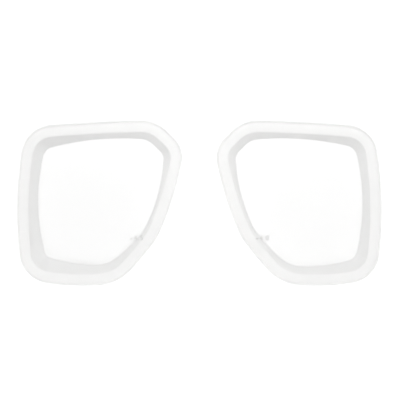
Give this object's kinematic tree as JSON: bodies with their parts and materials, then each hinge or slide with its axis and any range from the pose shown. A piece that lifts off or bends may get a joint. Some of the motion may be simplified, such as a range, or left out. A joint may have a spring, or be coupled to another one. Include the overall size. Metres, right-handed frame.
{
  "type": "corrective diving mask lens pair",
  "caption": "Left and right corrective glass lenses for a two-window diving mask, each with a flat front, a clamped rim, a ground sloping wall with a cove at its foot, and a spherical hollow back.",
  "frame": {"origin": "on the nose line midway between the lenses, halfway up them, in the plane of their flat fronts", "axes": "+X towards the right lens as the wearer sees it, +Y towards the brow, +Z away from the flat fronts towards the wearer"},
  "size_m": [0.1592, 0.0722, 0.0105],
  "materials": {
    "optical_glass": "clear white crown glass, polished front and hollow, fine-ground rim, wall and edges"
  },
  "bodies": {
    "root": {"left_lens": "optical_glass", "right_lens": "optical_glass"}
  },
  "joints": []
}
